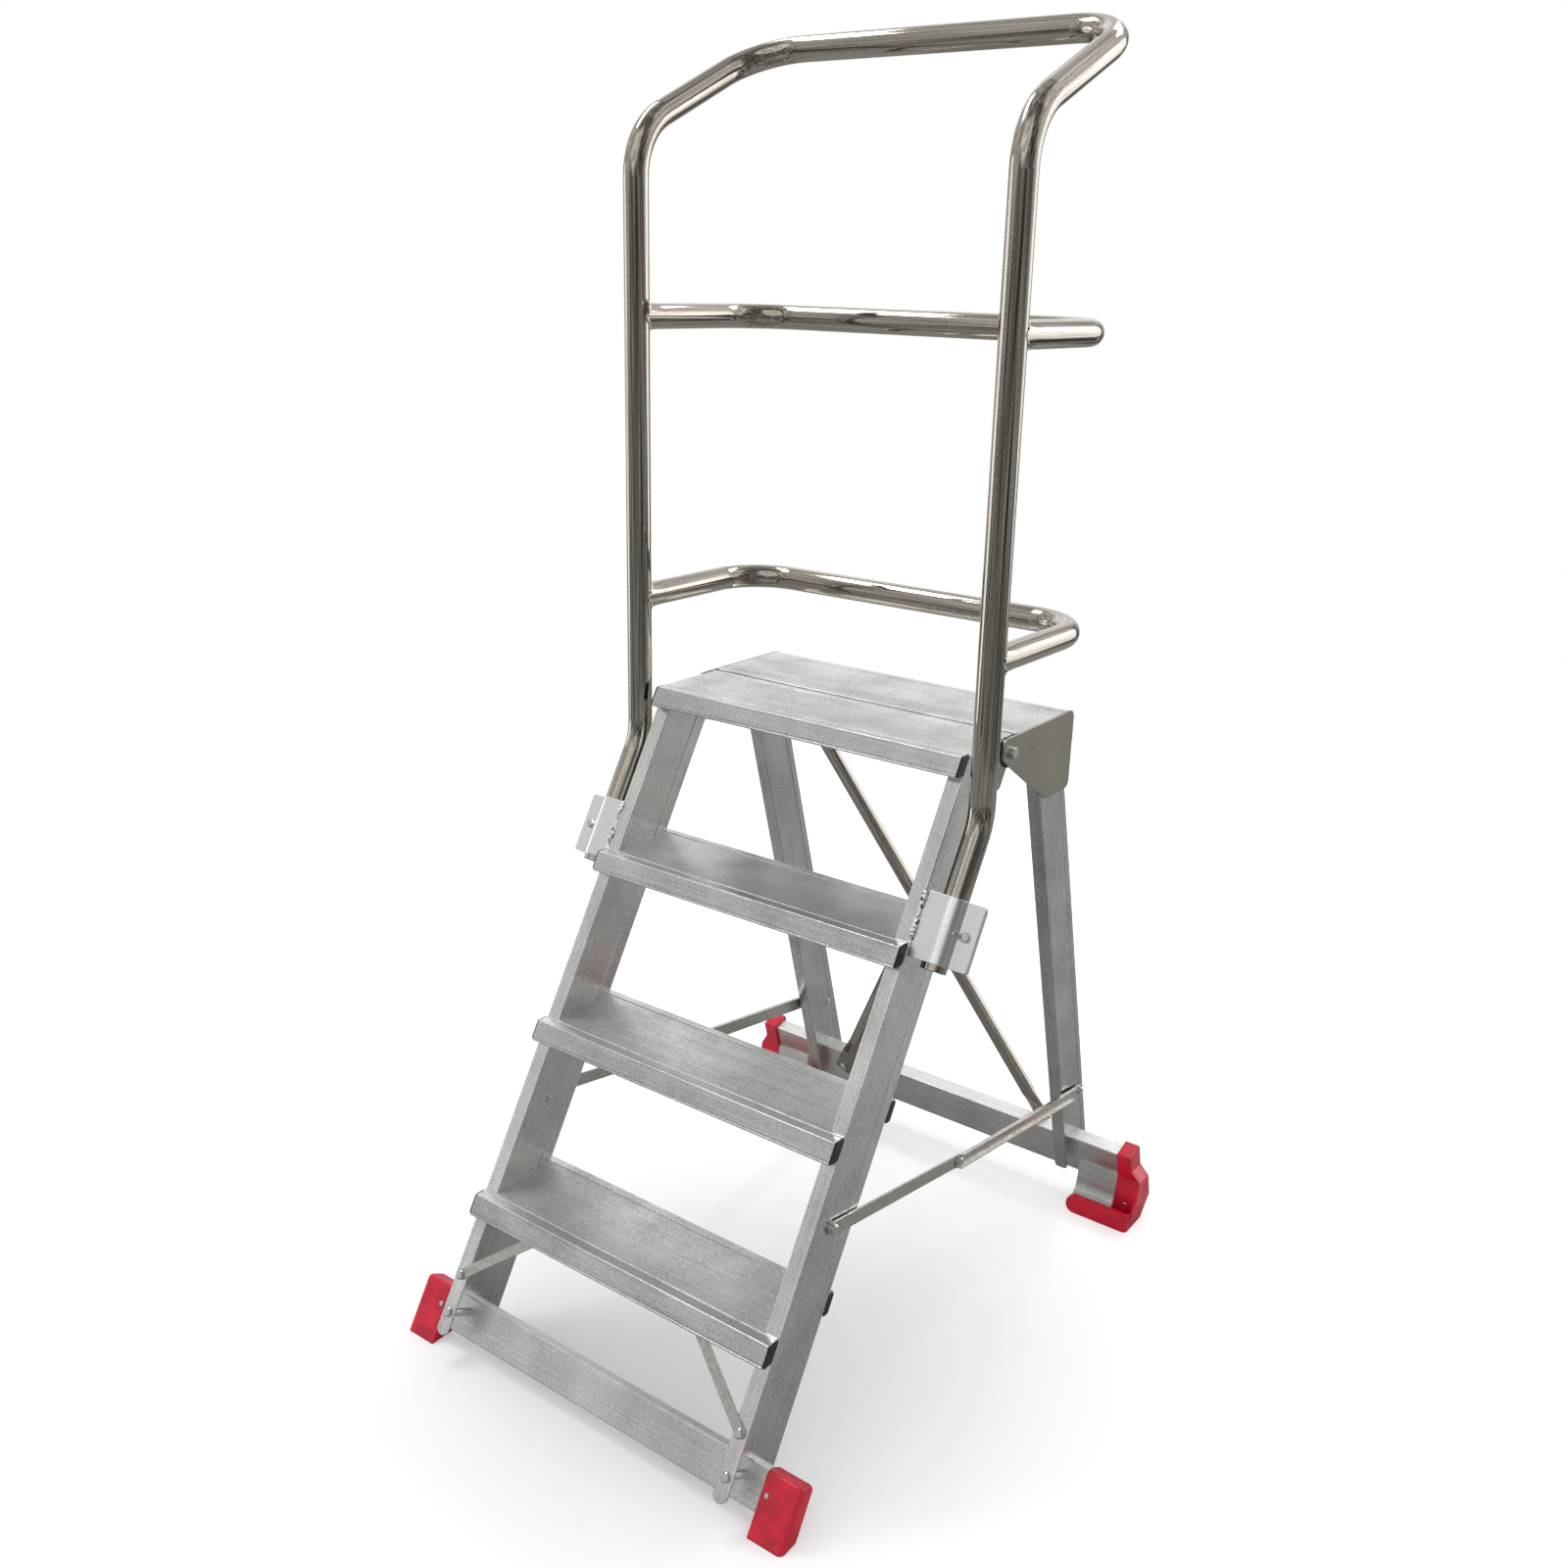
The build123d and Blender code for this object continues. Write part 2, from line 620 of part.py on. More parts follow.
def gusset():
    """Right gusset plate: turns on the hinge bolt and ties the rear leg to the rear board."""
    front = pivot_y - gusset_front
    rear = board_rear + gusset_rear_reach
    foot = platform_top - gusset_depth
    plate = outline((front, platform_top), (rear, platform_top), (rear, foot),
                    (rear - gusset_foot_width, foot), (front, platform_top - gusset_lobe_depth))
    plate = fillet(plate.vertices(), gusset_corner)
    plate -= disc((pivot_y, pivot_z), hinge_bolt_radius + pivot_play)
    return side_prism(plate, leg_outer, gusset_outer)


def rear_leg():
    """Right rear leg: notched for the bar behind its flap, with a top cut level under the rear board."""
    section = hollow_section((leg_inner, 0), (leg_outer, leg_depth), leg_wall)
    for face in (leg_inner, leg_outer):
        section -= outline((face - profile_groove_depth, leg_groove_back),
                           (face + profile_groove_depth, leg_groove_back),
                           (face + profile_groove_depth, leg_groove_back + profile_groove_width),
                           (face - profile_groove_depth, leg_groove_back + profile_groove_width))
    tube = extrude(Pos(0, 0, leg_flap_end) * section, amount=leg_long + past - leg_flap_end)
    notch = outline((leg_wall, leg_flap_end - past), (leg_wall, rear_bar_top), (rear_bar_rear, rear_bar_top),
                    (rear_bar_rear, leg_heel_end), (leg_depth + past, leg_heel_end),
                    (leg_depth + past, leg_flap_end - past))
    tube -= side_prism(notch, leg_inner - past, leg_outer + past)
    for side in (-1, 1):
        edge = (leg_inner + leg_outer + side * leg_width) / 2
        corner = Pos(edge, leg_flap_end) * Rectangle(2 * leg_flap_corner, 2 * leg_flap_corner)
        corner -= disc((edge - side * leg_flap_corner, leg_flap_end + leg_flap_corner), leg_flap_corner)
        tube -= front_prism(corner, -past, leg_wall + past)
    tube -= side_prism(disc((stay_rear_back, stay_rear_along), bolt_radius), leg_inner - past,
                       leg_outer + past)
    above = block((0, 0, plate_under), (2 * leg_outer, 2 * platform_top, 2 * platform_top))
    return LEG * tube - above


def leg_slab(back_low, back_high, top, drop):
    """Side-view strip that hangs from a level line, with sides parallel to the rear legs."""
    low = top - drop
    return outline((leg_y(back_low, top), top), (leg_y(back_high, top), top),
                   (leg_y(back_high, low), low), (leg_y(back_low, low), low))


def brace_heads():
    """Upper bolts of the front and the rear brace, as (across, along) in leg coordinates."""
    z = platform_top - brace_head_below_board
    return ((front_brace_head, (z - rear_bar_back * cos(leg_slope)) / sin(leg_slope)),
            (rear_brace_head, (z - rear_bar_rear * cos(leg_slope)) / sin(leg_slope)))


def brace_feet():
    """Lower bolts of the front and the rear brace, as (across, along) in leg coordinates."""
    along = rear_bar_top - brace_foot_below_bar_top
    return (front_brace_foot, along), (rear_brace_foot, along)


def platform_rear_board():
    """Rear platform board: plate, box noses, and two webs that take the heads of the braces."""
    run = nose_drop / tan(slope)
    low = platform_top - nose_drop
    wall_run = tread_wall / sin(slope)
    nose_thick = (nose_depth - strap_thickness) / sin(slope)
    front_thick = rear_nose_depth
    section = outline((board_front, platform_top), (board_rear, platform_top),
                      (board_rear + tread_plate / tan(slope), plate_under), (board_front, plate_under))
    section += outline((board_front, platform_top), (board_front + front_thick, platform_top),
                       (board_front + front_thick, low), (board_front, low))
    section -= outline((board_front + tread_wall, plate_under),
                       (board_front + front_thick - tread_wall, plate_under),
                       (board_front + front_thick - tread_wall, low + tread_wall),
                       (board_front + tread_wall, low + tread_wall))
    section += outline((board_rear - nose_thick, platform_top), (board_rear, platform_top),
                       (board_rear + run, low), (board_rear - nose_thick + run, low))
    upper = tread_plate / tan(slope)
    lower = run - tread_wall / tan(slope)
    section -= outline((board_rear - nose_thick + wall_run + upper, plate_under),
                       (board_rear - wall_run + upper, plate_under),
                       (board_rear - wall_run + lower, low + tread_wall),
                       (board_rear - nose_thick + wall_run + lower, low + tread_wall))
    section = rounded_at(section, nose_round, (board_front, platform_top), (board_rear, platform_top),
                         (board_rear + run, low))
    for edge in (board_front + edge_strip, board_rear - edge_strip - profile_groove_width):
        section -= Pos(edge + profile_groove_width / 2, platform_top) * Rectangle(profile_groove_width,
                                                                                  2 * profile_groove_depth)
    board = side_prism(section, -leg_outer, leg_outer)
    washer_room = block((stile_outer - hinge_play, board_front - past, low - past),
                        (leg_outer + past, pivot_y + washer_radius + hinge_play, platform_top + past))
    board -= washer_room
    board -= mirrored(washer_room)
    webs = leg_slab(rear_bar_back, rear_bar_back + rear_board_web, platform_top - tread_plate / 2,
                    rear_board_web_drop)
    webs += leg_slab(rear_bar_rear - rear_board_web, rear_bar_rear, platform_top - tread_plate / 2,
                     rear_board_web_drop)
    board += side_prism(webs, hinge_play - leg_inner, leg_inner - hinge_play)
    for centre, web_face in zip(brace_heads(), (rear_bar_back, rear_bar_rear)):
        board -= LEG * front_prism(disc(centre, bolt_radius), web_face - past, web_face + past)
    return board


def rear_base_bar():
    """Bar under both rear legs, with holes for the feet of the braces."""
    section = hollow_section((rear_bar_back, rear_bar_bottom), (rear_bar_rear, rear_bar_top), bar_wall)
    bar = side_prism(section, -rear_bar_half, rear_bar_half)
    for centre, bar_face in zip(brace_feet(), (rear_bar_back, rear_bar_rear)):
        bar -= front_prism(disc(centre, bolt_radius), bar_face - past, bar_face + past)
    return LEG * bar


def rear_bar_envelope():
    """Space that the right half of the rear base bar takes up."""
    return LEG * block((0, rear_bar_back, rear_bar_bottom), (rear_bar_half, rear_bar_rear, rear_bar_top))


def sweep_to_lip(cheek, proud):
    """Side-view line of a foot's front: from the bar down to a waist, then in an arc to the tray's lip."""
    head = leg_point(rear_bar_back - cheek, shoe_top)
    waist = (leg_foot - shoe_waist_ahead - proud, shoe_waist_height + proud)
    lean = (waist[0] - head[0], waist[1] - head[1])
    return [Line(head, waist), TangentArc(waist, sweep_end, tangent=lean)]


def rear_shoe():
    """Right shoe: hollow, with cheeks on the bar, a front that sweeps to the lip and a base in the tray."""
    rear = rear_bar_rear + shoe_cheek
    heel = rear_boot_heel + rear_boot_floor
    outer_line = Polyline(sweep_end, (lip_rear, rear_boot_floor), (sole_rear, rear_boot_floor),
                          (leg_y(rear, heel), heel), leg_point(rear, shoe_top),
                          leg_point(rear_bar_back - shoe_cheek, shoe_top))
    face = make_face([*sweep_to_lip(shoe_cheek, 0.0), outer_line])
    shoe = side_prism(face, rear_foot_inner, rear_boot_neck_in)
    hollow = side_prism(offset(face, amount=-shoe_cheek), rear_foot_inner, rear_boot_neck_in)
    roof = LEG * block((0, -platform_top, rear_bar_bottom - shoe_cheek),
                       (rear_boot_outer, platform_top, platform_top))
    return shoe - (hollow - roof) - rear_bar_envelope()


def rear_boot_tray():
    """Tray of the right rear boot: a sole with a thick lip at the front and a heel and a wall at the rear."""
    outer = rear_bar_rear + rear_boot_wall
    inner = rear_bar_rear + shoe_cheek
    heel = rear_boot_heel + rear_boot_floor
    face = outline((tray_front, 0), (sole_rear, 0), (tray_rear, rear_boot_heel),
                   (leg_y(outer, rear_boot_rim), rear_boot_rim), (leg_y(inner, rear_boot_rim), rear_boot_rim),
                   (leg_y(inner, heel), heel), (sole_rear, rear_boot_floor), (lip_rear, rear_boot_floor),
                   (lip_rear, rear_boot_lip), (tray_front, rear_boot_lip))
    tray = side_prism(face, rear_foot_inner, rear_boot_neck_in)
    for edge, side in ((0, 1), (rear_boot_lip, -1)):
        corner = Pos(rear_foot_inner, edge) * Rectangle(2 * rear_boot_corner, 2 * rear_boot_corner)
        corner -= disc((rear_foot_inner + rear_boot_corner, edge + side * rear_boot_corner), rear_boot_corner)
        tray -= front_prism(corner, tray_front - past, lip_rear)
    return tray


def rear_boot_end():
    """Closed outer end of the right rear boot: climbs over the bar, with a pocket behind the lip."""
    front = rear_bar_back - rear_boot_wall
    rear = rear_bar_rear + rear_boot_wall
    top = rear_bar_top + rear_boot_cap
    outer_line = Polyline(sweep_end, (lip_rear, rear_boot_lip), (tray_front, rear_boot_lip), (tray_front, 0),
                          (sole_rear, 0), (tray_rear, rear_boot_heel), leg_point(rear, top),
                          leg_point(front, top), leg_point(front, shoe_top))
    end = side_prism(make_face([*sweep_to_lip(rear_boot_wall, rear_boot_edge), outer_line]), rear_boot_neck_in,
                     rear_boot_outer)
    pocket = outline((lip_rear, rear_boot_floor), (lip_rear, pocket_head[1]), pocket_head, pocket_foot)
    end -= side_prism(pocket, rear_boot_neck_in + rear_boot_pocket_wall, rear_boot_outer - rear_boot_wall)
    narrow = leg_point(rear_bar_back, rear_bar_top - rear_boot_shoulder)[1]
    lean = outline((rear_boot_outer, narrow - rear_boot_lean), (rear_boot_neck_out, narrow),
                   (rear_boot_neck_out, platform_top), (rear_boot_outer + past, platform_top),
                   (rear_boot_outer + past, narrow - rear_boot_lean))
    end -= front_prism(lean, tray_front - past, tray_rear + past)
    bounds = block((0, tray_front, 0), (rear_boot_outer, tray_rear + rear_boot_round, platform_top))
    end &= fillet(bounds.edges().filter_by(Axis.Z), rear_boot_round)
    centre = (rear_boot_screw_x, rear_boot_screw_height)
    seat = rear_boot_screw_seat
    end -= front_prism(disc(centre, screw_head_radius + cap_plug_gap), lip_rear, seat)
    return end - front_prism(disc(centre, screw_radius), seat, seat + grip_length)


def rear_boot():
    """Right rear boot: tray and closed end in one moulding."""
    return rear_boot_tray() + rear_boot_end() - rear_bar_envelope()


def rear_boot_screw():
    """Small screw low in the pocket of the boot's closed end."""
    return small_screw(front_prism, Axis.Y, (rear_boot_screw_x, rear_boot_screw_height), rear_boot_screw_seat,
                       rear_boot_screw_seat + grip_length)


def brace_end():
    """Flattened end of a brace, with its bolt hole at the origin, growing round along X."""
    half = brace_tab_width / 2
    tab_face = outline((-brace_tab_end, -half), (brace_flat_length, -half), (brace_flat_length, half),
                       (-brace_tab_end, half))
    tab_face = rounded_at(tab_face, brace_tab_corner, (-brace_tab_end, -half), (-brace_tab_end, half))
    tab_face -= Circle(bolt_radius)
    tab = Pos(0, 0, -brace_tab_thickness / 2) * extrude(tab_face, amount=brace_tab_thickness)
    flat_end = Plane((brace_flat_length, 0, 0), x_dir=(0, 1, 0), z_dir=(1, 0, 0))
    neck = loft([flat_end * Ellipse(brace_tab_width / 2, brace_tab_thickness / 2),
                 flat_end.offset(brace_flatten) * Circle(brace_radius)])
    return tab + neck


def cross_brace(foot, head, back):
    """Brace tube in the plane at that distance behind the leg's front face, flattened at both bolts."""
    run = (head[0] - foot[0], head[1] - foot[1])
    length = hypot(*run)
    round_start = brace_flat_length + brace_flatten
    tube = Pos(round_start, 0, 0) * (Rot(0, 90, 0) * Cylinder(
        brace_radius, length - 2 * round_start, align=(Align.CENTER, Align.CENTER, Align.MIN)))
    brace = brace_end() + tube + Pos(length, 0, 0) * brace_end().mirror(Plane.YZ)
    axis_frame = Plane(origin=(foot[0], back, foot[1]), x_dir=(run[0], 0, run[1]), z_dir=(0, 1, 0))
    return LEG * (axis_frame * brace)


def brace_bolt(centre, seat, inward):
    """Bolt that holds a brace's flattened end: head on the tab, shank into the bar or the web."""
    reach = seat + inward * (brace_tab_thickness + grip_length)
    return LEG * round_bolt(front_prism, Axis.Y, centre, seat, reach)


def stay_front_link():
    """Right front link: a flat bar from the stile to the middle pivot."""
    bar = slot_between(stay_front_pivot, stay_middle_pivot, stay_front_width)
    bar -= disc(stay_front_pivot, bolt_radius + pivot_play)
    return side_prism(bar, stay_front_in, stay_front_out)


def stay_rear_link():
    """Right rear link: a channel from the middle pivot to the rear leg, with lips turned outward."""
    run = (stay_rear_pivot[0] - stay_middle_pivot[0], stay_rear_pivot[1] - stay_middle_pivot[1])
    length = hypot(*run)
    web = SlotCenterToCenter(length, stay_rear_width)
    web -= Pos(length / 2, 0) * Circle(bolt_radius + pivot_play)
    web -= Pos(-length / 2, 0) * Circle(bolt_radius)
    link = extrude(web, amount=stay_rear_thickness)
    for side in (-1, 1):
        edge = side * (stay_rear_width - stay_lip_thickness) / 2
        lip = Pos(-stay_lip_stop / 2, edge) * Rectangle(length - stay_lip_stop, stay_lip_thickness)
        link += extrude(lip, amount=stay_rear_lip)
    middle = [(start + end) / 2 for start, end in zip(stay_middle_pivot, stay_rear_pivot)]
    return Plane((stay_rear_in, *middle), x_dir=(0, *run), z_dir=(1, 0, 0)) * link


def stay_bush(pivot, x_low, x_high):
    """Sleeve between a leg or a stile and the link that turns on its bolt."""
    return side_prism(disc(pivot, stay_bush_radius) - disc(pivot, bolt_radius), x_low, x_high)


def stay_bolt(pivot, seat, inner_face):
    """Pivot bolt of a stay: head outside the link, shank through the profile, tail on its inner face."""
    tail = bevelled_head(side_prism, Axis.X, pivot, inner_face, -1, stay_rivet_end, stay_rivet_end_height,
                         stay_rivet_end_height / 2)
    return round_bolt(side_prism, Axis.X, pivot, seat, inner_face) + tail


def rail_socket():
    """Right clamp socket: a split ring with a web to the stile and two lips."""
    axis = (rail_half, rail_back)
    ring_front = rail_back - socket_ring
    face = disc(axis, socket_ring)
    face += outline((stile_outer, ring_front), (rail_half, ring_front), (rail_half, ring_front + socket_web),
                    (stile_outer, ring_front + socket_web))
    face += outline((rail_half, socket_lip_front), (socket_lip_outer, socket_lip_front),
                    (socket_lip_outer, socket_lip_rear), (rail_half, socket_lip_rear))
    face -= disc(axis, rail_radius + socket_play)
    face -= outline((rail_half, socket_split_front), (socket_lip_outer, socket_split_front),
                    (socket_lip_outer, socket_split_rear), (rail_half, socket_split_rear))
    socket = Pos(0, 0, socket_bottom) * extrude(face, amount=socket_length)
    corners = socket.edges().filter_by(Axis.Y).group_by(Axis.X)
    socket = fillet(corners[-1], socket_lip_corner)
    socket -= front_prism(disc((socket_bolt_x, socket_middle), bolt_radius), socket_lip_front - past,
                          socket_lip_rear + past)
    socket -= SET_SCREW * extrude(disc((0, 0), screw_radius), amount=2 * socket_ring)
    return STILE * socket


def set_screw():
    """Right set screw: through the ring towards the tube, short of it by the socket's play."""
    shank = disc((0, 0), screw_radius)
    tip = rail_radius + socket_play
    screw = Pos(0, 0, tip) * extrude(shank, amount=socket_ring - tip)
    head = Pos(0, 0, socket_ring) * extrude(hex_face((0, 0), set_screw_across), amount=set_screw_height)
    return STILE * (SET_SCREW * (screw + head))


def socket_bolt():
    """Right clamp bolt: head in front of the lips, nut behind them."""
    centre = (socket_bolt_x, socket_middle)
    bolt = round_bolt(front_prism, Axis.Y, centre, socket_lip_front, socket_lip_rear + nut_height)
    return STILE * (bolt + front_prism(hex_face(centre, nut_across), socket_lip_rear,
                                       socket_lip_rear + nut_height))


def bent_tube(points, bends, radius):
    """Round bar along a line with bent corners."""
    path = FilletPolyline(*points, radius=bends)
    return sweep(Plane(origin=path @ 0, z_dir=path % 0) * Circle(radius), path=path)


def guardrail_points():
    """Axis of the guardrail's main tube, from the left tail over the top bar to the right tail."""
    tail = stile_point(rail_back, socket_bottom - rail_tail)
    side = [tail, (upright_y, upright_foot_z), (upright_y, platform_top + rail_shoulder),
            (upright_y + rail_reach, platform_top + rail_height)]
    return [(-rail_half, *point) for point in side] + [(rail_half, *point) for point in reversed(side)]


def guardrail():
    """Main tube of the guardrail: tails in the sockets, uprights, top bar bent to the rear."""
    bends = [rail_lower_bend, rail_upper_bend, rail_corner_bend]
    bends += reversed(bends)
    points = guardrail_points()
    return bent_tube(points, bends, rail_radius) - bent_tube(points, bends, rail_radius - rail_wall)


def hoop(height):
    """Hoop around the platform, its ends coped to the uprights."""
    z = platform_top + height
    rear = upright_y + hoop_reach
    points = [(-rail_half, upright_y, z), (-rail_half, rear, z), (rail_half, rear, z),
              (rail_half, upright_y, z)]
    tube = bent_tube(points, hoop_corner, rail_radius)
    tube -= bent_tube(points, hoop_corner, rail_radius - rail_wall)
    for side in (-1, 1):
        tube -= Pos(side * rail_half, upright_y, z) * Cylinder(rail_radius, 3 * rail_radius)
    return tube


parts = {}


def add(name, shape):
    """Keep a piece, or a group of like pieces, under its name."""
    parts[name] = Compound(list(shape)) if isinstance(shape, list) else shape


def add_pair(name, shape):
    """Keep the right piece and its mirror image."""
    parts[name + "_right"] = shape
    parts[name + "_left"] = mirrored(shape)


def both_sides(*shapes):
    """Group of pieces with their mirror images."""
    return [piece for shape in shapes for piece in (shape, mirrored(shape))]


add_pair("front_stile", front_stile())
for level in range(1, tread_count + 1):
    add(f"tread_{level}", tread(level))
add("platform_front_board", platform_front_board())
add("tread_end_caps", tread_end_caps())
add("front_base_bar", front_base_bar())
add_pair("front_boot", front_boot())
add("front_boot_screws", both_sides(front_boot_screw()))
add("front_flap_bolts", both_sides(flap_bolt()))
add("front_flap_spacers", both_sides(flap_spacer()))
add_pair("lower_strap", lower_strap())
add("lower_strap_bolts", both_sides(*strap_bolts()))
add_pair("hinge_ear", hinge_ear())
add("hinge_washers", both_sides(hinge_washer()))
add("hinge_bolts", both_sides(hinge_bolt()))
add("stay_front_bushes", both_sides(stay_bush(stay_front_pivot, stile_outer, stay_front_in)))
add("stay_front_bolts", both_sides(stay_bolt(stay_front_pivot, stay_front_out, stile_inner)))
add_pair("rail_socket", rail_socket())
add("socket_clamp_bolts", both_sides(socket_bolt(), set_screw()))
add_pair("hinge_gusset", gusset())
add_pair("rear_leg", rear_leg())
add("platform_rear_board", platform_rear_board())
add("rear_base_bar", rear_base_bar())
add_pair("rear_shoe", rear_shoe())
add_pair("rear_boot", rear_boot())
add("rear_boot_screws", both_sides(rear_boot_screw()))
brace_planes = (rear_bar_back - brace_tab_thickness / 2, rear_bar_rear + brace_tab_thickness / 2)
brace_seats = (rear_bar_back - brace_tab_thickness, rear_bar_rear + brace_tab_thickness)
for name, foot, head, back in zip(("front", "rear"), brace_feet(), brace_heads(), brace_planes):
    add(f"cross_brace_{name}", cross_brace(foot, head, back))
add("cross_brace_bolts", [brace_bolt(centre, seat, inward)
                          for centres in (brace_feet(), brace_heads())
                          for centre, seat, inward in zip(centres, brace_seats, (1, -1))])
add("stay_rear_bushes", both_sides(stay_bush(stay_rear_pivot, leg_outer, stay_rear_in)))
add("stay_rear_bolts", both_sides(stay_bolt(stay_rear_pivot, stay_rear_out, leg_inner)))
add_pair("stay_front_link", stay_front_link())
add_pair("stay_rear_link", stay_rear_link())
add_pair("stay_middle_rivet", round_bolt(side_prism, Axis.X, stay_middle_pivot, stay_rear_out, stay_rivet_in))
add("guardrail_tube", guardrail())
for name, height in zip(("lower", "middle"), hoop_heights):
    add(f"guardrail_{name}_hoop", hoop(height))

os.makedirs("parts", exist_ok=True)
for name, shape in parts.items():
    export_step(Pos(0, -middle_y, 0) * shape, f"parts/{name}.step")
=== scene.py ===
from math import cos, pi, radians, sin, tan

import bmesh
import bpy
from mathutils import Matrix, Vector


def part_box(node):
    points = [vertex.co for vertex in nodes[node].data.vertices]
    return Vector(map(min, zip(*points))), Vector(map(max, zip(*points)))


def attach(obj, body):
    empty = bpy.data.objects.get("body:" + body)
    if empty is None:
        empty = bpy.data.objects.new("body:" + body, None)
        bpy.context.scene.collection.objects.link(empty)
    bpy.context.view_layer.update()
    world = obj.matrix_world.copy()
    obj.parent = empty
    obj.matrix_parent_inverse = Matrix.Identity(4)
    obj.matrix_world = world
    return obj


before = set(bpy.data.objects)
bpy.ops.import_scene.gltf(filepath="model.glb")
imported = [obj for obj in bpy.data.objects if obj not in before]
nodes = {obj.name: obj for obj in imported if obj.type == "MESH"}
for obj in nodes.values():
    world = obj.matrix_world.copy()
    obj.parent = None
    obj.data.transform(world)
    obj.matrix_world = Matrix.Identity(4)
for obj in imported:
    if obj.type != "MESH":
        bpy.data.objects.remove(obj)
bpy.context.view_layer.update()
mm = 0.001

# Slopes of the stiles and the rear legs to the floor, in degrees
stile_angle = 59.68
leg_angle = 73.91

# Directions in which the profiles were pressed
across = Vector((1.0, 0.0, 0.0))
up_stile = Vector((0.0, cos(radians(stile_angle)), sin(radians(stile_angle))))
up_leg = Vector((0.0, -cos(radians(leg_angle)), sin(radians(leg_angle))))

# Sizes of the part that the finishes and the welds follow
stile_outer = 296 * mm
edge_strip = 14 * mm
tube_radius = 20 * mm
socket_length = 100 * mm

# Flared hoop ends, which rise above and below the plain tube
flare_length = 50 * mm
flare_rise = 5 * mm
flare_sides = 48
flare_steps = 12

# Weld beads
socket_bead = 12 * mm
socket_bead_length = 0.88 * socket_length
socket_bead_steps = 100
hoop_bead = 5 * mm
hoop_bead_steps = 120

# The photograph's camera, in metres, degrees and millimetres of lens
camera_place = (1.3290, -1.8425, 1.6573)
camera_yaw = 35.39
camera_pitch = -17.899
camera_roll = 1.648
camera_lens = 34.58
camera_film = 36.0
camera_shift = (-0.01876, -0.01255)

# Floor and ceiling lamps, in metres and watts
floor_radius = 3.4
floor_sides = 96
lamp_length = 1.8
lamp_width = 0.6
lamp_power = 40.0
lamp_target = Vector((0.0, 0.0, 1.0))
lamp_places = {"left_ceiling_lamp": (-1.9, 0.1, 4.2), "rear_ceiling_lamp": (0.2, 2.6, 4.2)}


def linear(hex_colour):
    """Linear colour of an sRGB hex value."""
    channels = []
    for start in (1, 3, 5):
        value = int(hex_colour[start:start + 2], 16) / 255
        channels.append(value / 12.92 if value <= 0.04045 else ((value + 0.055) / 1.055) ** 2.4)
    return (*channels, 1.0)


def add_node(tree, kind, inputs=None, **settings):
    """Add a node, with its settings, its values and the links into it."""
    node = tree.nodes.new(kind)
    for name, value in settings.items():
        setattr(node, name, value)
    for name, value in (inputs or {}).items():
        if isinstance(value, bpy.types.NodeSocket):
            tree.links.new(value, node.inputs[name])
        else:
            node.inputs[name].default_value = value
    return node


def calculate(tree, operation, *values):
    """Result of a sum on numbers and on the outputs of other nodes."""
    return add_node(tree, "ShaderNodeMath", dict(enumerate(values)), operation=operation).outputs[0]


def mapped(tree, value, low, high, to_low=0.0, to_high=1.0, **settings):
    """Value carried over from one range to another, and held at the ends."""
    return add_node(tree, "ShaderNodeMapRange", {
        "Value": value, "From Min": low, "From Max": high, "To Min": to_low, "To Max": to_high},
        **settings).outputs["Result"]


def mixed(tree, share, first, second):
    """Colour between two hex colours."""
    return add_node(tree, "ShaderNodeMix", {
        "Factor": share, "A": linear(first), "B": linear(second)}, data_type="RGBA").outputs["Result"]


def noise(tree, place, size, detail, roughness=0.5):
    """Cloudy pattern whose largest patches have this size."""
    return add_node(tree, "ShaderNodeTexNoise", {
        "Vector": place, "Scale": 1 / size, "Detail": detail, "Roughness": roughness}).outputs["Fac"]


def empty_tree(owner):
    """Emptied node tree of a material or a world."""
    owner.use_nodes = True
    owner.node_tree.nodes.clear()
    return owner.node_tree


def new_material(name, values):
    """Material, its tree, its shader with these values, and the object's own coordinates."""
    material = bpy.data.materials.new(name)
    tree = empty_tree(material)
    shader = add_node(tree, "ShaderNodeBsdfPrincipled", values)
    add_node(tree, "ShaderNodeOutputMaterial", {"Surface": shader.outputs["BSDF"]})
    place = add_node(tree, "ShaderNodeTexCoord").outputs["Object"]
    return material, tree, shader, place


def shade(tree, shader, amount, light, dark, roughness, spread):
    """Colour from light to dark and roughness about its middle, both by the same amount from 0 to 1."""
    tree.links.new(mixed(tree, amount, light, dark), shader.inputs["Base Color"])
    dull = mapped(tree, amount, 0.0, 1.0, roughness - spread, roughness + spread)
    tree.links.new(dull, shader.inputs["Roughness"])
    return dull


def relief(tree, shader, height, depth, edge):
    """Fine relief of a real depth, on edges that are eased by a real radius."""
    bump_strength = 0.5
    eased = add_node(tree, "ShaderNodeBevel", {"Radius": edge}, samples=8).outputs["Normal"]
    bump = add_node(tree, "ShaderNodeBump", {
        "Height": height, "Distance": depth, "Strength": bump_strength, "Normal": eased}).outputs["Normal"]
    tree.links.new(bump, shader.inputs["Normal"])


